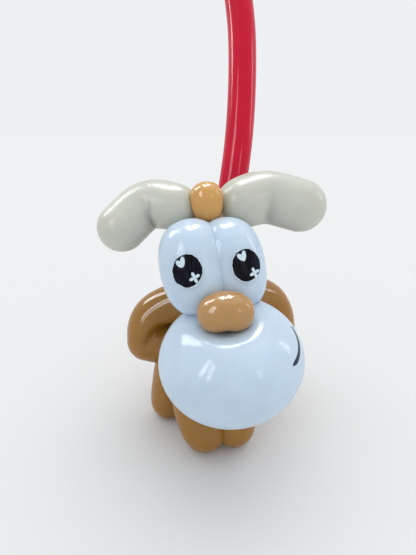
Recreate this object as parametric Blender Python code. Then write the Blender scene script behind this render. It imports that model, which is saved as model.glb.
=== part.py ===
"""Twisted-balloon poodle on its inflated leash, one closed solid per balloon.

Metres, +Z up. The dog faces -Y and stands on four flat-footed legs. Lengths at the top are the
inflated sizes of the bubbles; the pose is given by the places of the twists and of the bubbles.
The finished model is moved as a whole so that the origin is on the floor under its middle.
"""

import math

import bmesh
import bpy
from mathutils import Matrix, Vector

# Clearance between neighbouring balloons, which touch in the real object
GAP = 0.0003

# Muzzle: a round balloon with a dimple at its upper pole, which the pole's direction tilts
MUZZLE_WIDTH = 0.1125
MUZZLE_CROWN = 0.043
MUZZLE_DEPTH = 0.0440
MUZZLE_DIMPLE_DEPTH = 0.012
MUZZLE_DIMPLE_SPREAD = 0.32
MUZZLE_CENTRE = Vector((0.0055, -0.0268, 0.1138))
MUZZLE_POLE = Vector((-0.15, -0.17, 0.974))

# Face: one balloon twisted into two upright bubbles, closer at the twists than at the middle
FACE_BUBBLE_WIDTH = 0.054
FACE_BUBBLE_LENGTH = 0.076
FACE_SPREAD = 0.0292
FACE_TWIST_SPREAD = 0.022
FACE_CENTRE = Vector((-0.0022, 0.0032, 0.1790))
FACE_AXIS = Vector((-0.115, 0.40, 0.91))
FACE_ACROSS = Vector((1.0, 0.0, -0.04))
FACE_TOP = FACE_CENTRE + FACE_AXIS.normalized() * (0.5 * FACE_BUBBLE_LENGTH)

# Nose: a short bean whose ends hang lower than its middle
NOSE_LENGTH = 0.0385
NOSE_THICKNESS = 0.0285
NOSE_SAG = 0.0075
NOSE_CENTRE = Vector((-0.0017, -0.0376, 0.1605))
NOSE_ACROSS = Vector((0.978, -0.208, 0.05))

# Topknot: an egg, thicker at the top by the taper's share; its centre is given from the face's top
TOPKNOT_WIDTH = 0.0255
TOPKNOT_LENGTH = 0.033
TOPKNOT_TAPER = 0.12
TOPKNOT_PLACE = Vector((0.0044, 0.0071, 0.0109))
TOPKNOT_AXIS = Vector((-0.05, 0.25, 0.97))

# Ears: one bent bubble each. Root, elbow and the centre of the round free end are given from the
# face's top. The bend is the length over which a bubble turns on each side of its elbow
RIGHT_EAR_THICKNESS = 0.0405
RIGHT_EAR_ROOT = Vector((-0.0009, 0.0156, 0.0029))
RIGHT_EAR_ELBOW = Vector((-0.0404, 0.0366, 0.0074))
RIGHT_EAR_END = Vector((-0.0629, 0.0306, -0.0116))
LEFT_EAR_THICKNESS = 0.0445
LEFT_EAR_ROOT = Vector((0.0161, 0.0146, 0.0024))
LEFT_EAR_ELBOW = Vector((0.0566, 0.0216, 0.0119))
LEFT_EAR_END = Vector((0.0856, 0.0126, 0.0039))
EAR_BEND = 0.013

# Body balloon: the three places where it is twisted
FACE_TWIST = Vector((-0.002, 0.003, 0.1495))
NECK_TWIST = Vector((0.0115, 0.060, 0.121))
LEG_TWIST = Vector((0.000, 0.038, 0.078))

# Neck and belly, the bubbles between the twists
NECK_THICKNESS = 0.032
BELLY_THICKNESS = 0.044
BELLY_BELOW_TWIST = 0.012

# Shoulder loops: two bubbles, each folded at an elbow into an upper and a lower arm. The places
# along both arms, from the twist out to the elbow, are given outwards, backwards and upwards from
# the neck twist
LOOP_THICKNESS = 0.0410
RIGHT_UPPER_ARM = (
    Vector((0.0, 0.0, 0.0)),
    Vector((0.020, 0.0065, -0.0005)),
    Vector((0.041, 0.0125, -0.0060)),
    Vector((0.0565, 0.0145, -0.0155)),
    Vector((0.0635, 0.0120, -0.0270)),
)
RIGHT_ELBOW = Vector((0.0650, 0.0075, -0.0395))
RIGHT_LOWER_ARM = (
    Vector((0.006, 0.003, -0.018)),
    Vector((0.028, 0.005, -0.0375)),
    Vector((0.049, 0.0055, -0.0430)),
)
LEFT_UPPER_ARM = (
    Vector((0.0, 0.0, 0.0)),
    Vector((0.024, 0.010, -0.001)),
    Vector((0.047, 0.020, -0.0065)),
    Vector((0.0635, 0.0240, -0.0165)),
    Vector((0.0715, 0.0210, -0.0305)),
)
LEFT_ELBOW = Vector((0.0725, 0.0145, -0.0455))
LEFT_LOWER_ARM = (
    Vector((0.008, 0.005, -0.020)),
    Vector((0.036, 0.011, -0.0430)),
    Vector((0.056, 0.0125, -0.0490)),
)

# Front legs: side by side, bowed outwards; the tops are given from the leg twist
FRONT_LEG_THICKNESS = 0.042
FRONT_LEG_TOP = Vector((0.013, -0.008, -0.004))
FRONT_FOOT_SPREAD = 0.022
FRONT_FEET_SHIFT = 0.004
RIGHT_LEG_BOW = 0.007
LEFT_LEG_BOW = 0.004

# Hind legs: apart and further back
HIND_LEG_THICKNESS = 0.037
HIND_LEG_TOP = Vector((0.030, 0.010, -0.008))
HIND_FOOT_SPREAD = 0.074
HIND_FOOT_BACK = 0.049

# Floor: each foot sinks a little below it and is cut flat there
FLOOR = 0.0045
FOOT_SINK = 0.0012

# Tail: root, bend and tip, given from the leg twist
TAIL_THICKNESS = 0.030
TAIL_ROOT = Vector((0, 0.014, 0.004))
TAIL_BEND = Vector((0, 0.036, 0.016))
TAIL_TIP = Vector((0, 0.052, 0.038))

# Leash: a long thin balloon that rises behind the neck
LEASH_THICKNESS = 0.0262
LEASH_PATH = (
    Vector((0.016, 0.075, 0.126)),
    Vector((0.021, 0.0765, 0.158)),
    Vector((0.027, 0.079, 0.189)),
    Vector((0.0335, 0.0840, 0.220)),
    Vector((0.0430, 0.0975, 0.266)),
    Vector((0.0500, 0.1150, 0.312)),
    Vector((0.0540, 0.1335, 0.357)),
    Vector((0.0535, 0.1480, 0.392)),
    Vector((0.0510, 0.1590, 0.418)),
)

# Eye stickers: thin ovals that follow the face
STICKER_WIDTH = 0.0224
STICKER_HEIGHT = 0.0250
STICKER_THICKNESS = 0.0006
RIGHT_STICKER_CENTRE = Vector((-0.0266, -0.0223, 0.1869))
LEFT_STICKER_CENTRE = Vector((0.0168, -0.0232, 0.1883))
STICKER_FACING = Vector((-0.19, -0.91, 0.36))
STICKER_REACH = 0.030

# Facets round and along a bubble
SIDES = 16
RINGS = 12

# Colours, linear
WHITE = (0.62, 0.74, 0.86)
CREAM = (0.62, 0.62, 0.52)
BROWN = (0.34, 0.18, 0.055)
GOLD = (0.78, 0.42, 0.14)
TAN = (0.60, 0.34, 0.15)
RED = (0.55, 0.004, 0.02)
BLACK = (0.006, 0.006, 0.009)


def latex(name, colour, roughness=0.22):
    """A plain material of one colour."""
    material = bpy.data.materials.new(name)
    material.use_nodes = True
    shader = material.node_tree.nodes["Principled BSDF"]
    shader.inputs["Base Color"].default_value = (*colour, 1.0)
    shader.inputs["Roughness"].default_value = roughness
    shader.inputs["Metallic"].default_value = 0.0
    return material


def smooth_path(points, shares):
    """Points of a Catmull-Rom curve through the control points, at shares of its length."""
    ends = [points[0] * 2 - points[1], *points, points[-1] * 2 - points[-2]]
    fine = []
    steps = 24
    for k in range(len(points) - 1):
        a, b, c, d = ends[k:k + 4]
        for i in range(steps):
            t = i / steps
            fine.append(0.5 * (2 * b + (c - a) * t + (2 * a - 5 * b + 4 * c - d) * t * t
                               + (3 * b - a - 3 * c + d) * t ** 3))
    fine.append(points[-1].copy())
    travelled = [0.0]
    for a, b in zip(fine, fine[1:]):
        travelled.append(travelled[-1] + (b - a).length)

    def at(share):
        goal = share * travelled[-1]
        k = 1
        while k < len(fine) - 1 and travelled[k] < goal:
            k += 1
        span = travelled[k] - travelled[k - 1]
        return fine[k - 1].lerp(fine[k], (goal - travelled[k - 1]) / span)

    return [at(share) for share in shares], travelled[-1]


def ring_shares(rings, crowding):
    """Shares of the length, crowded towards the round ends where crowding is 1."""
    shares = []
    for k in range(rings + 1):
        even = k / rings
        crowded = 0.5 - 0.5 * math.cos(math.pi * even)
        shares.append(even + crowding * (crowded - even))
    return shares


def fullness(share, length, radius, round_end):
    """Share of the full radius: a bubble's blunt ends, or a half ball where the end is round."""
    u = 2 * share - 1
    left = (1 - share) * length
    if round_end and u > 0:
        return math.sqrt(1 - max(0.0, 1 - left / radius) ** 2)
    return math.sqrt(1 - abs(u) ** max(2.0, length / radius))


def sausage(name, path, thickness, rings=RINGS, sides=SIDES, taper=0.0, extra=0.0, crowding=1.0,
            round_end=False, split=False):
    """An inflated bubble along a path, full in the middle and thicker by extra all round."""
    shares = ring_shares(rings, crowding)
    centres, length = smooth_path(path, shares)
    start = (centres[1] - centres[0]).normalized()
    stop = (centres[-1] - centres[-2]).normalized()
    mesh = bmesh.new()
    side = start.orthogonal().normalized()
    loops = []
    for k in range(1, rings):
        along = (centres[k + 1] - centres[k - 1]).normalized()
        side = (side - along * side.dot(along)).normalized()
        other = along.cross(side)
        u = 2 * shares[k] - 1
        full = 0.5 * thickness * (1 - taper * u)
        radius = full * fullness(shares[k], length, 0.5 * thickness, round_end) + extra
        loop = []
        for i in range(sides):
            angle = 2 * math.pi * i / sides
            direction = math.cos(angle) * side + math.sin(angle) * other
            loop.append(mesh.verts.new(centres[k] + radius * direction))
        loops.append(loop)
    first = mesh.verts.new(centres[0] - start * extra)
    last = mesh.verts.new(centres[-1] + stop * extra)
    for i in range(sides):
        j = (i + 1) % sides
        mesh.faces.new((first, loops[0][j], loops[0][i]))
        mesh.faces.new((last, loops[-1][i], loops[-1][j]))
        for lower, upper in zip(loops, loops[1:]):
            mesh.faces.new((lower[i], lower[j], upper[j], upper[i]))
    if split:
        bmesh.ops.triangulate(mesh, faces=mesh.faces, quad_method="FIXED")
    return finish(name, mesh)


def finish(name, mesh):
    """A mesh object from a bmesh, with its faces turned outwards."""
    bmesh.ops.recalc_face_normals(mesh, faces=mesh.faces)
    data = bpy.data.meshes.new(name)
    mesh.to_mesh(data)
    mesh.free()
    obj = bpy.data.objects.new(name, data)
    bpy.context.scene.collection.objects.link(obj)
    return obj


def combine(target, tool, operation):
    """Apply one exact Boolean to target and drop the tool."""
    modifier = target.modifiers.new(operation, "BOOLEAN")
    modifier.object = tool
    modifier.operation = operation
    modifier.solver = "EXACT"
    bpy.context.view_layer.objects.active = target
    with bpy.context.temp_override(object=target, active_object=target):
        bpy.ops.object.modifier_apply(modifier=modifier.name)
    bpy.data.objects.remove(tool)
    return target


def turned_frame(pole):
    """Rotation that takes +Z to the given pole."""
    return Vector((0, 0, 1)).rotation_difference(pole.normalized()).to_matrix().to_4x4()


def muzzle_body(name, extra=0.0, rings=20, sides=28):
    """An oblate balloon, dimpled at its upper pole."""
    half_width = 0.5 * MUZZLE_WIDTH + extra
    mesh = bmesh.new()
    loops = []

    def outline(angle):
        dent = MUZZLE_DIMPLE_DEPTH * math.exp(-((angle / MUZZLE_DIMPLE_SPREAD) ** 2))
        rise = (MUZZLE_CROWN if angle < math.pi / 2 else MUZZLE_DEPTH) + extra
        return half_width * math.sin(angle), rise * math.cos(angle) - dent

    for k in range(1, rings):
        radius, height = outline(math.pi * k / rings)
        loops.append([
            mesh.verts.new((radius * math.cos(2 * math.pi * i / sides),
                            radius * math.sin(2 * math.pi * i / sides), height))
            for i in range(sides)
        ])
    top = mesh.verts.new((0, 0, outline(0.0)[1]))
    bottom = mesh.verts.new((0, 0, outline(math.pi)[1]))
    for i in range(sides):
        j = (i + 1) % sides
        mesh.faces.new((top, loops[0][i], loops[0][j]))
        mesh.faces.new((bottom, loops[-1][j], loops[-1][i]))
        for upper, lower in zip(loops, loops[1:]):
            mesh.faces.new((upper[i], lower[i], lower[j], upper[j]))
    mesh.transform(Matrix.Translation(MUZZLE_CENTRE) @ turned_frame(MUZZLE_POLE))
    return finish(name, mesh)


def face_body(name, extra=0.0):
    """Two upright bubbles pressed together."""
    axis = FACE_AXIS.normalized()
    across = FACE_ACROSS.normalized()
    half = axis * (0.5 * FACE_BUBBLE_LENGTH)
    bubbles = []
    for side in (-1, 1):
        middle = FACE_CENTRE + across * (side * 0.5 * FACE_SPREAD)
        twist = FACE_CENTRE + across * (side * 0.5 * FACE_TWIST_SPREAD)
        bubbles.append(sausage(name, [twist - half, middle, twist + half], FACE_BUBBLE_WIDTH,
                               rings=14, sides=18, extra=extra, split=True))
    return combine(bubbles[0], bubbles[1], "UNION")


def nose_body(name, extra=0.0):
    """A bean that lies across the dog, its middle highest."""
    across = NOSE_ACROSS.normalized()
    sag = Vector((0, 0, -NOSE_SAG))
    reach = across * (0.5 * NOSE_LENGTH)
    path = [NOSE_CENTRE - reach + sag, NOSE_CENTRE, NOSE_CENTRE + reach + sag]
    return sausage(name, path, NOSE_THICKNESS, rings=12, sides=20, extra=extra)


def topknot_body(name, extra=0.0):
    """An egg that stands between the two face bubbles."""
    half = TOPKNOT_AXIS.normalized() * (0.5 * TOPKNOT_LENGTH)
    centre = FACE_TOP + TOPKNOT_PLACE
    path = [centre - half, centre, centre + half]
    return sausage(name, path, TOPKNOT_WIDTH, rings=12, sides=18, taper=-TOPKNOT_TAPER, extra=extra)


def ear_body(name, root, elbow, end, thickness):
    """A full bubble that turns smoothly at its elbow and ends in a half ball."""
    inward = (root - elbow).normalized() * EAR_BEND
    outward = (end - elbow).normalized() * EAR_BEND
    path = [root]
    for k in range(5):
        t = k / 4
        path.append(elbow + inward * (1 - t) ** 2 + outward * t ** 2)
    path += [end, end + outward.normalized() * (0.5 * thickness)]
    path = [FACE_TOP + place for place in path]
    return sausage(name, path, thickness, rings=17, sides=18, crowding=0.6, round_end=True)


def loop_body(name, side, upper_arm, elbow, lower_arm):
    """A folded bubble: an upper and a lower arm that share a round elbow and part in a crease."""
    mirror = Matrix.Diagonal((side, 1, 1))
    arms = []
    for arm in (upper_arm, lower_arm):
        path = [NECK_TWIST + mirror @ place for place in (*arm, elbow)]
        onward = (path[-1] - path[-2]).normalized()
        path.append(path[-1] + onward * (0.5 * LOOP_THICKNESS))
        arms.append(sausage(name, path, LOOP_THICKNESS, crowding=0.7, round_end=True))
    return combine(arms[0], arms[1], "UNION")


def leg_body(name, top, foot, thickness, bow):
    """A leg whose round foot sinks a little below the floor, where it is cut flat."""
    radius = 0.5 * thickness
    down = (foot - top).normalized()
    middle = top.lerp(foot, 0.55) + bow
    return sausage(name, [top - down * radius * 0.5, middle, foot + down * radius], thickness)


def whole_body(name):
    """All bubbles of the brown balloon, joined at their twists and cut flat under the feet."""
    body = sausage(name, [FACE_TWIST, FACE_TWIST.lerp(NECK_TWIST, 0.5), NECK_TWIST], NECK_THICKNESS)
    parts = [loop_body("loop", -1, RIGHT_UPPER_ARM, RIGHT_ELBOW, RIGHT_LOWER_ARM),
             loop_body("loop", 1, LEFT_UPPER_ARM, LEFT_ELBOW, LEFT_LOWER_ARM)]
    parts.append(sausage("belly", [NECK_TWIST, NECK_TWIST.lerp(LEG_TWIST, 0.5),
                                   LEG_TWIST - Vector((0, 0, BELLY_BELOW_TWIST))],
                         BELLY_THICKNESS))
    front = FLOOR - FOOT_SINK + 0.5 * FRONT_LEG_THICKNESS
    hind = FLOOR - FOOT_SINK + 0.5 * HIND_LEG_THICKNESS
    for side in (-1, 1):
        mirror = Matrix.Diagonal((side, 1, 1))
        foot = Vector((FRONT_FEET_SHIFT + side * 0.5 * FRONT_FOOT_SPREAD, 0.0, front))
        bow = LEFT_LEG_BOW if side > 0 else -RIGHT_LEG_BOW
        parts.append(leg_body("leg", LEG_TWIST + mirror @ FRONT_LEG_TOP, foot,
                              FRONT_LEG_THICKNESS, Vector((bow, 0, 0))))
        foot = Vector((side * 0.5 * HIND_FOOT_SPREAD, HIND_FOOT_BACK, hind))
        parts.append(leg_body("leg", LEG_TWIST + mirror @ HIND_LEG_TOP, foot,
                              HIND_LEG_THICKNESS, Vector((0, 0, 0))))
    tail = [LEG_TWIST + place for place in (TAIL_ROOT, TAIL_BEND, TAIL_TIP)]
    parts.append(sausage("tail", tail, TAIL_THICKNESS, rings=10))
    for part in parts:
        combine(body, part, "UNION")
    return combine(body, ground_block("ground"), "DIFFERENCE")


def ground_block(name):
    """A square block whose top is the floor and which reaches under every foot."""
    reach = HIND_FOOT_SPREAD + HIND_FOOT_BACK + FRONT_LEG_THICKNESS
    low = Vector((-reach, -reach, FLOOR - reach))
    high = Vector((reach, reach, FLOOR))
    mesh = bmesh.new()
    bmesh.ops.create_cube(mesh, size=1.0)
    centre = (low + high) / 2
    size = high - low
    mesh.transform(Matrix.Translation(centre) @ Matrix.Diagonal((*size, 1.0)))
    return finish(name, mesh)


def sticker_body(name, centre):
    """A thin oval that lies on the face: an oval cylinder cut out of the face's grown skin."""
    facing = STICKER_FACING.normalized()
    mesh = bmesh.new()
    bmesh.ops.create_cone(mesh, cap_ends=True, segments=24, radius1=0.5, radius2=0.5,
                          depth=STICKER_REACH)
    mesh.transform(Matrix.Diagonal((STICKER_WIDTH, STICKER_HEIGHT, 1.0, 1.0)))
    across = Vector((0, 0, 1)).cross(facing).normalized()
    up = facing.cross(across)
    turn = Matrix((across, up, facing)).transposed().to_4x4()
    mesh.transform(Matrix.Translation(centre) @ turn)
    oval = finish(name, mesh)
    combine(oval, face_body("outer", extra=GAP + STICKER_THICKNESS), "INTERSECT")
    return combine(oval, face_body("inner", extra=GAP), "DIFFERENCE")


def leash_body(name, extra=0.0):
    """The long balloon along its path."""
    return sausage(name, LEASH_PATH, LEASH_THICKNESS, rings=24, sides=14, extra=extra, crowding=0.7)


for obj in list(bpy.data.objects):
    bpy.data.objects.remove(obj)

muzzle = muzzle_body("muzzle")
face = face_body("face")
nose = nose_body("nose")
topknot = topknot_body("topknot")
right_ear = ear_body("right_ear", RIGHT_EAR_ROOT, RIGHT_EAR_ELBOW, RIGHT_EAR_END,
                     RIGHT_EAR_THICKNESS)
left_ear = ear_body("left_ear", LEFT_EAR_ROOT, LEFT_EAR_ELBOW, LEFT_EAR_END, LEFT_EAR_THICKNESS)
leash = leash_body("leash")
body = whole_body("body")
right_sticker = sticker_body("right_eye_sticker", RIGHT_STICKER_CENTRE)
left_sticker = sticker_body("left_eye_sticker", LEFT_STICKER_CENTRE)

# Where two balloons are pressed together, one gives way to the other and keeps the clearance
for squeezed in (face, nose, body):
    combine(squeezed, muzzle_body("neighbour", extra=GAP), "DIFFERENCE")
for squeezed in (nose, topknot, right_ear, left_ear, body):
    combine(squeezed, face_body("neighbour", extra=GAP), "DIFFERENCE")
for squeezed in (right_ear, left_ear):
    combine(squeezed, topknot_body("neighbour", extra=GAP), "DIFFERENCE")
combine(body, leash_body("neighbour", extra=GAP), "DIFFERENCE")

looks = {
    muzzle: latex("white_latex", WHITE),
    face: latex("pressed_white_latex", WHITE),
    nose: latex("tan_latex", TAN),
    topknot: latex("gold_latex", GOLD),
    right_ear: latex("right_cream_latex", CREAM, 0.3),
    left_ear: latex("left_cream_latex", CREAM, 0.3),
    body: latex("brown_latex", BROWN),
    leash: latex("red_latex", RED, 0.15),
    right_sticker: latex("right_printed_film", BLACK, 0.3),
    left_sticker: latex("left_printed_film", BLACK, 0.3),
}
for obj, material in looks.items():
    obj.data.materials.clear()
    obj.data.materials.append(material)
    obj.data.shade_smooth()
    obj.data.set_sharp_from_angle(angle=math.radians(40))

# The origin is on the floor under the middle of the whole object
corners = [vertex.co for obj in looks for vertex in obj.data.vertices]
low = Vector([min(co[axis] for co in corners) for axis in range(3)])
high = Vector([max(co[axis] for co in corners) for axis in range(3)])
for obj in looks:
    obj.data.transform(Matrix.Translation((-(low.x + high.x) / 2, -(low.y + high.y) / 2, -low.z)))
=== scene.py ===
import math

import bpy
from mathutils import Matrix, Vector


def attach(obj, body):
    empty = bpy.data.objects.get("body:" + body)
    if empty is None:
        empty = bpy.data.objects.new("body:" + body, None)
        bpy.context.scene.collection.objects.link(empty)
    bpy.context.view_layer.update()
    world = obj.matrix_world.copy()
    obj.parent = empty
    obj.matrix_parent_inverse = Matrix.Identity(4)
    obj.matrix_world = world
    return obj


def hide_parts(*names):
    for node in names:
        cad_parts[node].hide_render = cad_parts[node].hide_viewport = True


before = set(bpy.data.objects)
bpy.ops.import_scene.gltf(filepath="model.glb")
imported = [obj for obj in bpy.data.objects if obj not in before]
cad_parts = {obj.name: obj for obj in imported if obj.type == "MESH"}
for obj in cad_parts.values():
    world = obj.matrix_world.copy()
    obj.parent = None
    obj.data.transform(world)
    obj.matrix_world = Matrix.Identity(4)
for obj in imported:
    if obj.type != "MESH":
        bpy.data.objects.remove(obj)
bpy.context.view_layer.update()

# View: the dog is seen from a little above and a little to its right. A wide lens at arm's length
# makes the muzzle look large against the feet.
view_place = (-0.0741, -0.3243, 0.2837)
view_tilt = 68
view_turn = 12
bpy.ops.object.camera_add(location=view_place,
                          rotation=(math.radians(view_tilt), 0, math.radians(-view_turn)))
camera = bpy.context.object
camera.name = "photo_camera"
camera.data.lens = 26
camera.data.sensor_width = 36
camera.data.clip_start = 0.01
bpy.context.scene.camera = camera
bpy.context.scene.view_settings.view_transform = "Standard"

# Muzzle: a round five-inch balloon of white latex, blown to an oblate ball. It is tied on by its
# neck, which pulls a dimple into the top, where the nose sits. The smile is drawn with a marker.
# TOUCH is the room kept between pieces that press together, SPECK the slack in finding points.
TOUCH = 0.0003
SPECK = 0.000001
muzzle_width = 0.1123
muzzle_crown = 0.043
muzzle_depth = 0.044
dimple_depth = 0.012
dimple_spread = 0.32
muzzle_centre = Vector((-0.0017, -0.0683, 0.1093))
muzzle_pole = Vector((-0.15, -0.17, 0.974))
white_rubber = (0.55, 0.67, 0.79)
white_gathered = (0.46, 0.53, 0.60)
white_depth = 0.5
white_bleed = (0.012, 0.010, 0.008)
marker_ink = (0.012, 0.016, 0.045)
smile_middle = Vector((0.0137, -0.0888, 0.1393))
smile_axis = Vector((0.2494, -0.4524, 0.8562)).normalized()
smile_radius = 0.0308
smile_start = Vector((0.0428, -0.0787, 0.1360))
smile_end = Vector((0.0324, -0.1077, 0.1240))
smile_swell = 0.0012
smile_tip = 0.0003
serif_start = Vector((0.0391, -0.0817, 0.1386))
serif_end = Vector((0.0467, -0.0732, 0.1331))


def ready():
    """Clear the selection, so that the next operator acts on the new work alone."""
    if bpy.context.object and bpy.context.object.mode != "OBJECT":
        bpy.ops.object.mode_set(mode="OBJECT")
    bpy.ops.object.select_all(action="DESELECT")


def pick(piece, wanted):
    """In edit mode, select the vertices whose place answers wanted."""
    bpy.ops.mesh.select_all(action="DESELECT")
    bpy.ops.object.mode_set(mode="OBJECT")
    for vertex in piece.data.vertices:
        vertex.select = wanted(vertex.co)
    bpy.ops.object.mode_set(mode="EDIT")


def settle(piece):
    """Put a finished piece's place into its mesh."""
    ready()
    piece.select_set(True)
    bpy.context.view_layer.objects.active = piece
    bpy.ops.object.transform_apply(location=True, rotation=True, scale=True)


def press(piece, other, operation="DIFFERENCE", keep=False):
    """Press a piece against another one, or weld the two."""
    ready()
    bpy.context.view_layer.objects.active = piece
    fit = piece.modifiers.new("press", "BOOLEAN")
    fit.object = other
    fit.operation = operation
    fit.solver = "MANIFOLD"
    bpy.ops.object.modifier_apply(modifier=fit.name)
    if not keep:
        bpy.data.objects.remove(other)
    return piece


def gloss(piece, angle=35):
    """Smooth the skin and keep its creases."""
    ready()
    piece.select_set(True)
    bpy.context.view_layer.objects.active = piece
    bpy.ops.object.shade_smooth_by_angle(angle=math.radians(angle))


def blow_muzzle(name, extra=0.0, segments=128, rings=96):
    """Blow the ball, flatten it above and below, and pull the dimple in ring by ring."""
    half = muzzle_width / 2 + extra
    ready()
    bpy.ops.mesh.primitive_uv_sphere_add(segments=segments, ring_count=rings, radius=half)
    ball = bpy.context.object
    ball.name = name
    bpy.ops.object.mode_set(mode="EDIT")
    bpy.ops.mesh.select_mode(type="VERT")
    pick(ball, lambda co: co.z > SPECK)
    bpy.ops.transform.resize(value=(1, 1, (muzzle_crown + extra) / half), center_override=(0, 0, 0))
    pick(ball, lambda co: co.z < -SPECK)
    bpy.ops.transform.resize(value=(1, 1, (muzzle_depth + extra) / half), center_override=(0, 0, 0))
    for k in range(rings // 2):
        lean = math.pi * k / rings
        dent = dimple_depth * math.exp(-(lean / dimple_spread) ** 2)
        if dent > 2 * SPECK:
            reach = half * math.sin(lean)
            pick(ball, lambda co: co.z > 0 and abs(math.hypot(co.x, co.y) - reach) < 20 * SPECK)
            bpy.ops.transform.translate(value=(0, 0, -dent))
    bpy.ops.object.mode_set(mode="OBJECT")
    ball.rotation_mode = "QUATERNION"
    ball.rotation_quaternion = Vector((0, 0, 1)).rotation_difference(muzzle_pole.normalized())
    ball.location = muzzle_centre
    settle(ball)
    return ball


class Skin:
    """A latex finish: colour, a deeper gathered colour at the twists, gloss and faint relief."""

    def __init__(self, name, colour, gathered, twists, reach=0.014, roughness=0.13, depth=0.25,
                 bleed=(0.006, 0.004, 0.003), pucker=0.0006, shine=0.22):
        self.material = bpy.data.materials.new(name)
        self.material.use_nodes = True
        self.tree = self.material.node_tree
        self.shader = self.tree.nodes["Principled BSDF"]
        self.place = self.node("ShaderNodeTexCoord").outputs["Object"]
        settings = {"Roughness": roughness, "IOR": 1.5, "Specular IOR Level": shine,
                    "Subsurface Weight": depth, "Subsurface Radius": bleed,
                    "Subsurface Scale": 1.0}
        for socket, value in settings.items():
            self.shader.inputs[socket].default_value = value
        # The gloss fades towards the rim, which would mirror too much of the pale room.
        rim = self.node("ShaderNodeLayerWeight")
        rim.inputs["Blend"].default_value = 0.5
        fading = self.maths("MULTIPLY", self.ramp(rim.outputs["Facing"], 0.95, 0.55), shine)
        self.link(fading, self.shader.inputs["Specular IOR Level"])
        near, streaks = self.twist_fields(twists, reach)
        # The colour has faint clouds, and is deeper where the latex is gathered at a twist.
        cloud = self.noise(self.place, 38, 2)
        mottle = self.mix_colour(self.ramp(cloud, 0.35, 0.65), [c * 0.95 for c in colour], colour)
        self.colour = self.mix_colour(near, mottle, gathered)
        # The relief is the puckers at the twists, and a grain that hardly shows.
        grain = self.noise(self.place, 350, 2)
        relief = self.maths("ADD", streaks, self.maths("MULTIPLY", grain, 0.0015))
        self.bump = self.node("ShaderNodeBump")
        self.bump.inputs["Strength"].default_value = 1.0
        self.bump.inputs["Distance"].default_value = pucker
        self.link(relief, self.bump.inputs["Height"])
        self.link(self.bump.outputs["Normal"], self.shader.inputs["Normal"])
        self.paint(self.colour)

    def node(self, kind):
        """A new node of the finish."""
        return self.tree.nodes.new(kind)

    def link(self, start, end):
        """Join an output to an input."""
        self.tree.links.new(start, end)

    def feed(self, value, socket):
        """Give an input a value, a colour or another node's output."""
        if isinstance(value, bpy.types.NodeSocket):
            self.link(value, socket)
        elif hasattr(value, "__len__") and socket.type == "RGBA":
            socket.default_value = (*value[:3], 1.0)
        else:
            socket.default_value = value

    def maths(self, operation, a, b=0.0):
        """One sum of two numbers."""
        node = self.node("ShaderNodeMath")
        node.operation = operation
        self.feed(a, node.inputs[0])
        self.feed(b, node.inputs[1])
        return node.outputs[0]

    def vector(self, operation, a, b):
        """One sum of two places."""
        node = self.node("ShaderNodeVectorMath")
        node.operation = operation
        self.feed(a, node.inputs[0])
        self.feed(b, node.inputs[1])
        measure = operation in ("DISTANCE", "DOT_PRODUCT")
        return node.outputs["Value"] if measure else node.outputs["Vector"]

    def noise(self, place, scale, detail):
        """Soft clouds: the larger the scale, the finer they are."""
        node = self.node("ShaderNodeTexNoise")
        node.inputs["Scale"].default_value = scale
        node.inputs["Detail"].default_value = detail
        self.link(place, node.inputs["Vector"])
        return node.outputs["Fac"]

    def ramp(self, value, low, high):
        """0 up to low, 1 from high, smooth between; low may be the larger one."""
        node = self.node("ShaderNodeMapRange")
        node.interpolation_type = "SMOOTHSTEP"
        flip = low > high
        self.feed(value, node.inputs["Value"])
        node.inputs["From Min"].default_value = high if flip else low
        node.inputs["From Max"].default_value = low if flip else high
        node.inputs["To Min"].default_value = 1.0 if flip else 0.0
        node.inputs["To Max"].default_value = 0.0 if flip else 1.0
        return node.outputs["Result"]

    def mix_colour(self, share, a, b):
        """Colour a where the share is 0, colour b where it is 1."""
        node = self.node("ShaderNodeMix")
        node.data_type = "RGBA"
        self.feed(share, node.inputs["Factor"])
        self.feed(a, node.inputs[6])
        self.feed(b, node.inputs[7])
        return node.outputs[2]

    def twist_fields(self, twists, reach):
        """How near a point is to a twist, and the puckers that run out from it like rays."""
        near = None
        streaks = None
        for twist in twists:
            gap = self.vector("DISTANCE", self.place, twist)
            share = self.ramp(gap, reach, reach * 0.25)
            away = self.vector("NORMALIZE", self.vector("SUBTRACT", self.place, twist), (0, 0, 0))
            fold = self.maths("MULTIPLY", self.noise(away, 5.5, 1), share)
            near = share if near is None else self.maths("MAXIMUM", near, share)
            streaks = fold if streaks is None else self.maths("MAXIMUM", streaks, fold)
        if near is None:
            return 0.0, 0.0
        return near, streaks

    def paint(self, colour):
        """Make a colour the one that shows."""
        self.link(colour, self.shader.inputs["Base Color"])


def dress(piece, skin, slot, *nodes):
    """Give a piece its finish, let it stand for its CAD node, and fix it to the body."""
    piece.data.materials.clear()
    piece.data.materials.append(skin.material)
    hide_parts(*nodes)
    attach(piece, "root")


muzzle = blow_muzzle("muzzle_balloon")
gloss(muzzle)
muzzle_knot = muzzle_centre + muzzle_pole.normalized() * (muzzle_crown - dimple_depth)
muzzle_skin = Skin("white_round_latex", white_rubber, white_gathered, [muzzle_knot], reach=0.012,
                   depth=white_depth, bleed=white_bleed)


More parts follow.
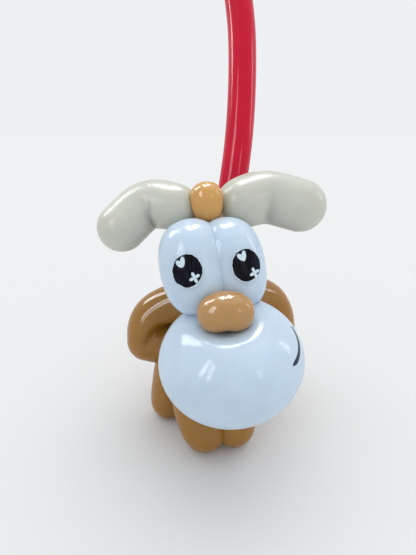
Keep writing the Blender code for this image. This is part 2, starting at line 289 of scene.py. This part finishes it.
def draw_smile(skin):
    """Ink on the skin: an arc of a circle that thins out at its ends, and a short serif."""
    # How far a point lies off the circle: beside it, and above or below its plane.
    rise = skin.vector("DOT_PRODUCT", skin.vector("SUBTRACT", skin.place, smile_middle), smile_axis)
    far = skin.vector("DISTANCE", skin.place, smile_middle)
    flat = skin.maths("SQRT", skin.maths("SUBTRACT", skin.maths("POWER", far, 2.0),
                                         skin.maths("POWER", rise, 2.0)))
    ring = skin.maths("SUBTRACT", flat, smile_radius)
    steep = skin.maths("MULTIPLY", skin.maths("POWER", rise, 2.0), 0.15)
    off = skin.maths("SQRT", skin.maths("ADD", skin.maths("POWER", ring, 2.0), steep))
    # The arc is widest in its middle, and stops a little past its two ends.
    middle = (smile_start + smile_end) / 2
    span = (smile_end - smile_start).length / 2
    along = skin.maths("DIVIDE", skin.vector("DISTANCE", skin.place, middle), span)
    width = skin.ramp(along, 1.14, 0.85)
    half = skin.maths("ADD", skin.maths("MULTIPLY", width, smile_swell), smile_tip)
    inside = skin.ramp(skin.maths("SUBTRACT", off, half), 0.00022, -0.00012)
    within = skin.ramp(along, 1.10, 1.04)
    arc = skin.maths("MULTIPLY", inside, within)
    # The serif is a straight tick across the arc's upper end, drawn more faintly.
    centre = (serif_start + serif_end) / 2
    line = (serif_end - serif_start).normalized()
    away = skin.vector("SUBTRACT", skin.place, centre)
    step = skin.vector("DOT_PRODUCT", away, line)
    gap = skin.vector("DISTANCE", skin.place, centre)
    side = skin.maths("SQRT", skin.maths("SUBTRACT", skin.maths("POWER", gap, 2.0),
                                         skin.maths("POWER", step, 2.0)))
    reach = (serif_end - serif_start).length / 2
    tick = skin.maths("MULTIPLY", skin.ramp(side, 0.0009, 0.0004),
                      skin.ramp(skin.maths("ABSOLUTE", step), reach, reach * 0.7))
    ink = skin.maths("MAXIMUM", arc, skin.maths("MULTIPLY", tick, 0.45))
    skin.paint(skin.mix_colour(ink, skin.colour, marker_ink))
    # Light doesn't soak into the skin under the ink.
    clear = skin.maths("SUBTRACT", 1.0, ink)
    skin.link(skin.maths("MULTIPLY", clear, white_depth), skin.shader.inputs["Subsurface Weight"])


draw_smile(muzzle_skin)
dress(muzzle, muzzle_skin, "white_latex", "muzzle")

# Face: one white modelling balloon twisted in the middle of its length and folded, so that two
# upright bubbles press together. The bubbles keep only a thin line between them.
face_width = 0.054
face_length = 0.076
face_spread = 0.0292
face_twist_spread = 0.022
face_centre = Vector((-0.0094, -0.0383, 0.1745))
face_axis = Vector((-0.115, 0.40, 0.91)).normalized()
face_across = Vector((1.0, 0.0, -0.04)).normalized()


def lay_path(points):
    """A smooth line through the points, on which a bubble is bent."""
    ready()
    bpy.ops.curve.primitive_bezier_curve_add(location=(0, 0, 0))
    line = bpy.context.object
    line.data.resolution_u = 48
    line.data.twist_mode = "MINIMUM"
    knots = line.data.splines[0].bezier_points
    knots.add(len(points) - 2)
    for k, (knot, place) in enumerate(zip(knots, points)):
        before = points[k - 1] if k else points[0] * 2 - points[1]
        after = points[k + 1] if k + 1 < len(points) else points[-1] * 2 - points[-2]
        knot.handle_left_type = "FREE"
        knot.handle_right_type = "FREE"
        knot.co = place
        knot.handle_left = place - (after - before) / 6
        knot.handle_right = place + (after - before) / 6
    return line


def swell(share, length, radius, round_end):
    """Share of the full radius at a share of the length: blunt ends, or one end a half ball."""
    u = 2 * share - 1
    if round_end and u > 0:
        return math.sqrt(1 - max(0.0, 1 - (1 - share) * length / radius) ** 2)
    return math.sqrt(max(0.0, 1 - abs(u) ** max(2.0, length / radius)))


def blow_bubble(name, points, thickness, rings=40, sides=64, taper=0.0, extra=0.0, round_end=False):
    """Blow a bubble straight, ring by ring, then bend it along its path."""
    line = lay_path(points)
    length = line.data.splines[0].calc_length()
    radius = thickness / 2
    shares = [0.5 - 0.5 * math.cos(math.pi * k / rings) for k in range(rings + 1)]
    radii = [radius * swell(share, length, radius, round_end) * (1 - taper * (2 * share - 1)) + extra
             for share in shares]
    ready()
    bpy.ops.mesh.primitive_circle_add(vertices=sides, radius=radii[1], rotation=(0, math.pi / 2, 0),
                                      location=(shares[1] * length, 0, 0))
    bubble = bpy.context.object
    bubble.name = name
    settle(bubble)
    bpy.ops.object.mode_set(mode="EDIT")
    bpy.ops.mesh.select_all(action="SELECT")
    bpy.ops.mesh.extrude_region_move(
        TRANSFORM_OT_translate={"value": (-extra - shares[1] * length, 0, 0)})
    bpy.ops.mesh.merge(type="CENTER")
    pick(bubble, lambda co: co.x > shares[1] * length - SPECK)
    for k in range(2, rings):
        bpy.ops.mesh.extrude_region_move(
            TRANSFORM_OT_translate={"value": ((shares[k] - shares[k - 1]) * length, 0, 0)})
        wider = radii[k] / radii[k - 1]
        bpy.ops.transform.resize(value=(1, wider, wider),
                                 center_override=(shares[k] * length, 0, 0))
    bpy.ops.mesh.extrude_region_move(
        TRANSFORM_OT_translate={"value": ((1 - shares[-2]) * length + extra, 0, 0)})
    bpy.ops.mesh.merge(type="CENTER")
    bpy.ops.mesh.select_all(action="SELECT")
    bpy.ops.mesh.normals_make_consistent(inside=False)
    bpy.ops.object.mode_set(mode="OBJECT")
    along = bubble.modifiers.new("bend", "CURVE")
    along.object = line
    along.deform_axis = "POS_X"
    bpy.ops.object.modifier_apply(modifier=along.name)
    bpy.data.objects.remove(line)
    return bubble


def blow_face(name, extra=0.0, rings=48, sides=72):
    """Both bubbles, welded where they press together."""
    bubbles = []
    for side in (-1, 1):
        middle = face_centre + face_across * (side * face_spread / 2)
        twist = face_centre + face_across * (side * face_twist_spread / 2)
        half = face_axis * (face_length / 2)
        bubbles.append(blow_bubble(name, [twist - half, middle, twist + half], face_width,
                                   rings=rings, sides=sides, extra=extra))
    return press(bubbles[0], bubbles[1], "UNION")


muzzle_room = blow_muzzle("muzzle_room", TOUCH)
face_room = blow_face("face_room", TOUCH)
face = press(blow_face("face_balloon"), muzzle_room, keep=True)
gloss(face)
top_twist = face_centre + face_axis * (face_length / 2)
low_twist = face_centre - face_axis * (face_length / 2)
face_skin = Skin("white_twisted_latex", white_rubber, white_gathered, [top_twist, low_twist],
                 depth=white_depth, bleed=white_bleed)
dress(face, face_skin, "white_latex", "face")

# Eye stickers: two ovals of printed self-adhesive film, black with a white border. Each has a
# small heart and a four-petal glint printed on it, and follows the face's curve.
sticker_width = 0.0224
sticker_height = 0.0250
sticker_film = 0.0006
sticker_facing = Vector((-0.19, -0.91, 0.36)).normalized()
right_eye = Vector((-0.0338, -0.0638, 0.1824))
left_eye = Vector((0.0096, -0.0647, 0.1838))
film_black = (0.003, 0.003, 0.005)
# The streak colour is the marker's strokes painted lighter than the black: partly real strokes, partly
# painted reflection.
film_streak_sheen = (0.012, 0.013, 0.026)
film_white = (0.62, 0.74, 0.82)
# The print is in millimetres from the sticker's middle. A heart is two strokes: across, up, half
# width, half height and turn in degrees. A glint is its middle, and a petal its place and turn.
# A pupil leans by so many degrees.
pupil = (10.7, 11.8)
right_heart = ((-5.6, 4.8, 1.75, 3.2, 46), (-3.4, 6.2, 1.75, 3.8, -2))
right_glint = (5.3, -4.9)
right_lean = -4
left_heart = ((-4.4, 5.6, 1.75, 3.2, 50), (-2.1, 6.6, 1.75, 3.9, -2))
left_glint = (6.2, -5.7)
left_lean = 2
petal = (1.9, 1.15)
petals = ((-1.9, -1.0, 28), (1.9, 1.2, 33), (-1.0, 2.1, 116), (1.0, -2.0, 116))


def sticker_turn():
    """Across, up and out of a sticker."""
    across = Vector((0, 0, 1)).cross(sticker_facing).normalized()
    return Matrix((across, sticker_facing.cross(across), sticker_facing)).transposed()


def cut_sticker(name, centre):
    """An oval punch through the skin that lies just on the face."""
    ready()
    bpy.ops.mesh.primitive_cylinder_add(vertices=96, radius=0.5, depth=0.03)
    oval = bpy.context.object
    oval.name = name
    oval.rotation_mode = "QUATERNION"
    oval.rotation_quaternion = sticker_turn().to_quaternion()
    oval.location = centre
    oval.scale = (sticker_width, sticker_height, 1)
    settle(oval)
    press(oval, blow_face("outer", TOUCH + sticker_film), "INTERSECT")
    return press(oval, face_room, keep=True)


def print_eye(name, centre, heart, glint, lean):
    """Film with a round black pupil drawn by hand, and a heart and a glint left white in it."""
    skin = Skin(name, film_white, film_white, [], roughness=0.25, depth=0.0, pucker=0.00003,
                shine=0.07)
    mapping = skin.node("ShaderNodeMapping")
    mapping.vector_type = "TEXTURE"
    mapping.inputs["Location"].default_value = centre
    mapping.inputs["Rotation"].default_value = sticker_turn().to_euler()
    mapping.inputs["Scale"].default_value = (0.001, 0.001, 0.001)
    skin.link(skin.place, mapping.inputs["Vector"])
    split = skin.node("ShaderNodeSeparateXYZ")
    skin.link(mapping.outputs["Vector"], split.inputs["Vector"])
    across = split.outputs["X"]
    up = split.outputs["Y"]

    def share_out(centre_across, centre_up, half_width, half_height, turn):
        """How far out a point is from the middle of an oval: 1 on its edge."""
        c = math.cos(math.radians(turn))
        s = math.sin(math.radians(turn))
        dx = skin.maths("SUBTRACT", across, centre_across)
        dy = skin.maths("SUBTRACT", up, centre_up)
        a = skin.maths("ADD", skin.maths("MULTIPLY", dx, c / half_width),
                       skin.maths("MULTIPLY", dy, s / half_width))
        b = skin.maths("ADD", skin.maths("MULTIPLY", dx, -s / half_height),
                       skin.maths("MULTIPLY", dy, c / half_height))
        return skin.maths("SQRT", skin.maths("ADD", skin.maths("MULTIPLY", a, a),
                                             skin.maths("MULTIPLY", b, b)))

    def oval(shape, soft):
        """1 inside an oval, 0 outside."""
        return skin.ramp(share_out(*shape), 1 + soft, 1 - soft)

    # The pupil's edge wanders a little, and its ink has long streaks, as a marker leaves them. The
    # streaks are painted a little lighter than the black: partly the marker's real strokes, partly a
    # painted reflection of the sheen they catch.
    wobble = skin.noise(mapping.outputs["Vector"], 0.22, 1)
    edge = skin.maths("MULTIPLY", skin.maths("SUBTRACT", wobble, 0.5), 0.16)
    inked = skin.ramp(skin.maths("ADD", share_out(0, 0, *pupil, lean), edge), 1.012, 0.988)
    drawn = skin.node("ShaderNodeMapping")
    drawn.inputs["Scale"].default_value = (0.55, 0.12, 0.1)
    drawn.inputs["Rotation"].default_value = (0, 0, math.radians(24))
    skin.link(mapping.outputs["Vector"], drawn.inputs["Vector"])
    streak_sheen = skin.noise(drawn.outputs["Vector"], 1.0, 3)
    black = skin.mix_colour(skin.ramp(streak_sheen, 0.45, 0.68), film_black, film_streak_sheen)
    colour = skin.mix_colour(inked, film_white, black)
    marks = [oval(stroke, 0.12) for stroke in heart]
    marks += [oval((glint[0] + dx, glint[1] + dy, *petal, turn), 0.16) for dx, dy, turn in petals]
    marks.append(oval((*glint, 0.9, 0.9, 0), 0.2))
    drawing = marks[0]
    for mark in marks[1:]:
        drawing = skin.maths("MAXIMUM", drawing, mark)
    skin.paint(skin.mix_colour(drawing, colour, film_white))
    return skin


for name, node, centre, heart, glint, lean in (
        ("right_eye_film", "right_eye_sticker", right_eye, right_heart, right_glint, right_lean),
        ("left_eye_film", "left_eye_sticker", left_eye, left_heart, left_glint, left_lean)):
    film = cut_sticker(name, centre)
    gloss(film, 50)
    dress(film, print_eye(name + "_print", centre, heart, glint, lean), "printed_film", node)

# Nose: a short bubble of tan latex, bent like a bean over the dimple. It is blown between the face
# and the muzzle, which both press into it.
nose_length = 0.0385
nose_thickness = 0.0285
nose_sag = 0.0075
nose_centre = Vector((-0.0089, -0.0791, 0.1560))
nose_across = Vector((0.978, -0.208, 0.05)).normalized()
tan_rubber = (0.46, 0.255, 0.095)
tan_gathered = (0.33, 0.15, 0.05)

nose_ends = [nose_centre + nose_across * (side * nose_length / 2) - Vector((0, 0, nose_sag))
             for side in (-1, 1)]
nose = blow_bubble("nose_bubble", [nose_ends[0], nose_centre, nose_ends[1]], nose_thickness)
press(nose, muzzle_room, keep=True)
press(nose, face_room, keep=True)
gloss(nose)
nose_skin = Skin("tan_latex_skin", tan_rubber, tan_gathered, nose_ends, reach=0.005,
                 pucker=0.0003, shine=0.4)
dress(nose, nose_skin, "tan_latex", "nose")

# Topknot: a small bubble of golden latex, blown to an egg. Its lower end is twisted on between
# the two bubbles of the face, and its top is the thicker end.
topknot_width = 0.0255
topknot_length = 0.033
topknot_taper = 0.12
topknot_centre = Vector((-0.0094, -0.0160, 0.2200))
topknot_axis = Vector((-0.05, 0.25, 0.97)).normalized()
gold_rubber = (0.64, 0.35, 0.105)
gold_gathered = (0.42, 0.17, 0.035)


def blow_topknot(name, extra=0.0):
    """The egg, thicker at its top."""
    half = topknot_axis * (topknot_length / 2)
    return blow_bubble(name, [topknot_centre - half, topknot_centre, topknot_centre + half],
                       topknot_width, taper=-topknot_taper, extra=extra)


topknot = press(blow_topknot("topknot_bubble"), face_room, keep=True)
gloss(topknot)
topknot_root = topknot_centre - topknot_axis * (topknot_length / 2)
topknot_skin = Skin("gold_latex_skin", gold_rubber, gold_gathered, [topknot_root], reach=0.010,
                    pucker=0.0003, shine=0.4)
dress(topknot, topknot_skin, "gold_latex", "topknot")

# Ears: a cream balloon bubble each, softly inflated and bent over by hand, which leaves a crease
# under the bend. Both are twisted on behind the topknot.
right_ear_thickness = 0.0402
right_ear_bend = (Vector((-0.0147, -0.0075, 0.2120)), Vector((-0.0542, 0.0135, 0.2165)),
                  Vector((-0.0767, 0.0075, 0.1975)))
left_ear_thickness = 0.0442
left_ear_bend = (Vector((0.0023, -0.0085, 0.2115)), Vector((0.0428, -0.0015, 0.2210)),
                 Vector((0.0718, -0.0105, 0.2130)))
cream_rubber = (0.57, 0.58, 0.505)
cream_gathered = (0.42, 0.35, 0.19)
ear_turn = 0.013
ear_turn_steps = 4
ear_crease_depth = 0.0035
ear_crease_width = 0.007
ear_crease_reach = 0.018


def fold_skin(piece, line, inward, depth, width, reach):
    """Draw the skin in along a line: a crease that is sharp at its bottom and fades at its start."""
    inward = inward.normalized()
    for vertex in piece.data.vertices:
        nearest = None
        for k, (start, stop) in enumerate(zip(line, line[1:])):
            run = stop - start
            share = min(1.0, max(0.0, (vertex.co - start).dot(run) / run.length_squared))
            off = vertex.co - (start + run * share)
            sunk = off.dot(inward)
            gap = (off - inward * sunk).length
            if nearest is None or gap < nearest[0]:
                nearest = (gap, sunk, (k + share) / (len(line) - 1))
        gap, sunk, along = nearest
        if gap < width and sunk < reach:
            fade = 1 - max(0.0, sunk / reach) ** 2
            growth = 0.4 + 0.6 * min(1.0, along * 2)
            vertex.co += inward * (depth * growth * fade * (1 - gap / width) ** 2)


def bend_ear(name, root, elbow, end, thickness):
    """A full length that turns smoothly at its elbow, ends round and folds under the bend."""
    inward = (root - elbow).normalized() * ear_turn
    outward = (end - elbow).normalized() * ear_turn
    points = [root]
    for k in range(ear_turn_steps + 1):
        t = k / ear_turn_steps
        points.append(elbow + inward * (1 - t) ** 2 + outward * t ** 2)
    points += [end, end + outward.normalized() * (thickness / 2)]
    ear = blow_bubble(name, points, thickness, rings=96, sides=96, round_end=True)
    # The crease starts on the front side and runs round to the inside of the bend.
    inner = (inward + outward).normalized()
    middle = elbow + (inward + outward) / 4
    side = inward.cross(outward).normalized()
    side = side if side.y < 0 else -side
    start = middle + side * (thickness * 0.46) + inner * (thickness * 0.16)
    turn = middle + side * (thickness * 0.32) + inner * (thickness * 0.36)
    stop = middle + inner * (thickness * 0.5)
    fold_skin(ear, [start, turn, stop], -inner - side * 0.25,
              ear_crease_depth, ear_crease_width, ear_crease_reach)
    return ear


topknot_room = blow_topknot("topknot_room", TOUCH)
for name, node, bend, thickness in (
        ("right_ear_bubble", "right_ear", right_ear_bend, right_ear_thickness),
        ("left_ear_bubble", "left_ear", left_ear_bend, left_ear_thickness)):
    ear = bend_ear(name, *bend, thickness)
    press(ear, face_room, keep=True)
    press(ear, topknot_room, keep=True)
    gloss(ear)
    dress(ear, Skin(name + "_skin", cream_rubber, cream_gathered, [bend[0]], roughness=0.24),
          "cream_latex", node)

# Body: one long brown balloon, twisted into a neck, two folded shoulder loops, a belly, four legs
# and a tail. All the bubbles meet in two twists, and the soft feet flatten on the floor.
face_twist = Vector((-0.0092, -0.0385, 0.1450))
neck_twist = Vector((0.0043, 0.0185, 0.1165))
leg_twist = Vector((-0.0072, -0.0035, 0.0735))
loop_thickness = 0.0401
# Both arms of a loop run to its elbow. Places are out to the side, back and up from the neck twist,
# and those of the fold are from the elbow.
right_upper_arm = ((0, 0, 0), (0.020, 0.0065, -0.0005), (0.041, 0.0125, -0.0060),
                   (0.0565, 0.0145, -0.0155), (0.0635, 0.0120, -0.0270))
right_elbow = (0.0650, 0.0075, -0.0395)
right_lower_arm = ((0.006, 0.003, -0.018), (0.028, 0.005, -0.0375), (0.049, 0.0055, -0.0430))
left_upper_arm = ((0, 0, 0), (0.024, 0.010, -0.001), (0.047, 0.020, -0.0065),
                  (0.0635, 0.0240, -0.0165), (0.0715, 0.0210, -0.0305))
left_elbow = (0.0725, 0.0145, -0.0455)
left_lower_arm = ((0.008, 0.005, -0.020), (0.036, 0.011, -0.0430), (0.056, 0.0125, -0.0490))
loop_fold = ((0.0023, -0.0189, 0.0073), (-0.0038, -0.0168, 0.0124), (-0.0115, -0.0130, 0.0152),
             (-0.0196, -0.0088, 0.0157), (-0.0340, -0.0010, 0.0150))
loop_crease_depth = 0.010
loop_crease_width = 0.011
loop_crease_reach = 0.026
neck_thickness = 0.032
belly_thickness = 0.044
belly_drop = 0.012
front_leg_thickness = 0.042
hind_leg_thickness = 0.037
foot_sink = 0.0012
# Each leg: its top from the leg twist, its foot on the floor, its thickness, and its bow sideways.
legs = (((-0.013, -0.008, -0.004), (-0.0142, -0.0415), front_leg_thickness, -0.007),
        ((0.013, -0.008, -0.004), (0.0078, -0.0415), front_leg_thickness, 0.004),
        ((-0.030, 0.010, -0.008), (-0.0442, 0.0075), hind_leg_thickness, 0.0),
        ((0.030, 0.010, -0.008), (0.0298, 0.0075), hind_leg_thickness, 0.0))
tail_thickness = 0.030
tail_path = ((0, 0.014, 0.004), (0, 0.036, 0.016), (0, 0.052, 0.038))
brown_rubber = (0.335, 0.157, 0.024)
brown_gathered = (0.16, 0.055, 0.012)


def blow_loop(side, upper_arm, elbow, lower_arm):
    """A long bubble folded at its elbow, which parts the two arms in a crease."""
    arms = []
    for arm in (upper_arm, lower_arm):
        points = [neck_twist + Vector((side * out, back, up)) for out, back, up in (*arm, elbow)]
        points.append(points[-1] + (points[-1] - points[-2]).normalized() * (loop_thickness / 2))
        arms.append(blow_bubble("loop", points, loop_thickness, rings=72, sides=96, round_end=True))
    loop = press(arms[0], arms[1], "UNION")
    bend = neck_twist + Vector((side * elbow[0], elbow[1], elbow[2]))
    fold = [bend + Vector((side * out, back, up)) for out, back, up in loop_fold]
    fold_skin(loop, fold, Vector((-side * 0.35, 1.0, 0.1)),
              loop_crease_depth, loop_crease_width, loop_crease_reach)
    return loop


def blow_leg(top, foot, thickness, bow):
    """A leg bubble whose round foot sinks a little below the floor, where it is pressed flat."""
    radius = thickness / 2
    down = (foot - top).normalized()
    # The top end reaches half a radius past the twist, so that the bubbles weld.
    middle = top.lerp(foot, 0.55) + Vector((bow, 0, 0))
    return blow_bubble("leg", [top - down * radius * 0.5, middle, foot + down * radius], thickness)


neck_path = [face_twist, face_twist.lerp(neck_twist, 0.5), neck_twist]
belly_path = [neck_twist, neck_twist.lerp(leg_twist, 0.5), leg_twist - Vector((0, 0, belly_drop))]
body = blow_bubble("body_balloon", neck_path, neck_thickness)
bubbles = [blow_loop(-1, right_upper_arm, right_elbow, right_lower_arm),
           blow_loop(1, left_upper_arm, left_elbow, left_lower_arm),
           blow_bubble("belly", belly_path, belly_thickness)]
for top, foot, thickness, bow in legs:
    foot = Vector((*foot, thickness / 2 - foot_sink))
    bubbles.append(blow_leg(leg_twist + Vector(top), foot, thickness, bow))
bubbles.append(blow_bubble("tail", [leg_twist + Vector(place) for place in tail_path], tail_thickness))
for bubble in bubbles:
    press(body, bubble, "UNION")

# Leash: a long thin balloon of red latex, twisted on behind the neck. It is blown hard, so that
# it stands up stiffly by itself in a slight bow.
leash_thickness = 0.0260
leash_points = [Vector(place) for place in (
    (0.0088, 0.0335, 0.1215), (0.0138, 0.0350, 0.1535), (0.0198, 0.0375, 0.1845),
    (0.0263, 0.0425, 0.2155), (0.0358, 0.0560, 0.2615), (0.0428, 0.0735, 0.3075),
    (0.0468, 0.0920, 0.3525), (0.0463, 0.1065, 0.3875), (0.0439, 0.1169, 0.4120))]
red_rubber = (0.60, 0.002, 0.030)
red_gathered = (0.25, 0.002, 0.010)

leash = blow_bubble("leash_balloon", leash_points, leash_thickness, rings=96)
gloss(leash)
leash_skin = Skin("red_latex_skin", red_rubber, red_gathered, [leash_points[0], leash_points[-1]],
                  roughness=0.12)
dress(leash, leash_skin, "red_latex", "leash")

# The body gives way to the three balloons that it touches, and its feet are pressed flat.
press(body, muzzle_room)
press(body, face_room)
press(body, blow_bubble("leash_room", leash_points, leash_thickness, rings=96, extra=TOUCH))
bpy.data.objects.remove(topknot_room)
ready()
bpy.ops.mesh.primitive_cube_add(size=0.4, location=(0, 0, -0.2))
press(body, bpy.context.object)
gloss(body)
body_skin = Skin("brown_latex_skin", brown_rubber, brown_gathered,
                 [face_twist, neck_twist, leg_twist], reach=0.016, shine=0.4)
dress(body, body_skin, "brown_latex", "body")

# Studio: a pale floor under an even pale surround, a broad soft light from above, and ceiling
# panels over and in front of the dog that show as bright panes on the glossy skins.
ready()
bpy.ops.mesh.primitive_circle_add(vertices=96, radius=6, fill_type="NGON")
floor = bpy.context.object
floor.name = "floor"
floor_paint = bpy.data.materials.new("pale_floor")
floor_paint.use_nodes = True
floor_shader = floor_paint.node_tree.nodes["Principled BSDF"]
floor_shader.inputs["Base Color"].default_value = (0.715, 0.72, 0.72, 1)
floor_shader.inputs["Roughness"].default_value = 1.0
floor_shader.inputs["Specular IOR Level"].default_value = 0.0
floor.data.materials.append(floor_paint)

bpy.ops.object.light_add(type="SUN", location=(0, 0, 3),
                         rotation=(math.radians(-12), math.radians(8), 0))
sky = bpy.context.object
sky.name = "soft_top"
sky.data.energy = 1.15
sky.data.angle = math.radians(70)
sky.data.color = (1.0, 0.99, 0.97)

panel_reach = 2
panel_aim = Vector((0, -0.03, 0.15))
cool_white = (0.93, 0.97, 1.0)
warm_white = (1.0, 0.97, 0.92)


def hang_panel(name, turn, rise, width, height, radiance, colour=cool_white):
    """A flat lamp turned to the dog, so many degrees round from the view and so many up."""
    turn = math.radians(turn - view_turn)
    rise = math.radians(rise)
    way = Vector((math.sin(turn) * math.cos(rise), -math.cos(turn) * math.cos(rise), math.sin(rise)))
    ready()
    bpy.ops.object.light_add(type="AREA", location=panel_aim + way * panel_reach)
    lamp = bpy.context.object
    lamp.name = name
    lamp.rotation_mode = "QUATERNION"
    lamp.rotation_quaternion = (-way).to_track_quat("-Z", "Y")
    lamp.data.shape = "RECTANGLE"
    lamp.data.size = width
    lamp.data.size_y = height
    lamp.data.energy = radiance * math.pi * width * height
    lamp.data.color = colour
    lamp.visible_diffuse = False


# Each panel: degrees round, degrees up, width and height in metres, and how bright it looks.
hang_panel("ceiling_a", -152, 72, 0.45, 0.75, 24)
hang_panel("ceiling_b", 162, 67, 0.45, 0.75, 24)
hang_panel("window_left", -115, 43, 0.55, 1.15, 13)
hang_panel("front_left_a", -50, 34, 0.22, 1.1, 13)
hang_panel("front_left_b", -38, 30, 0.16, 1.0, 13)
hang_panel("window_right", 102, 25, 0.25, 0.8, 6)
hang_panel("right_low", 38, 26, 0.2, 0.4, 7, warm_white)

world = bpy.data.worlds.new("surround")
bpy.context.scene.world = world
world.use_nodes = True
world.node_tree.nodes["Background"].inputs["Color"].default_value = (0.86, 0.88, 0.905, 1)
world.node_tree.nodes["Background"].inputs["Strength"].default_value = 1.0
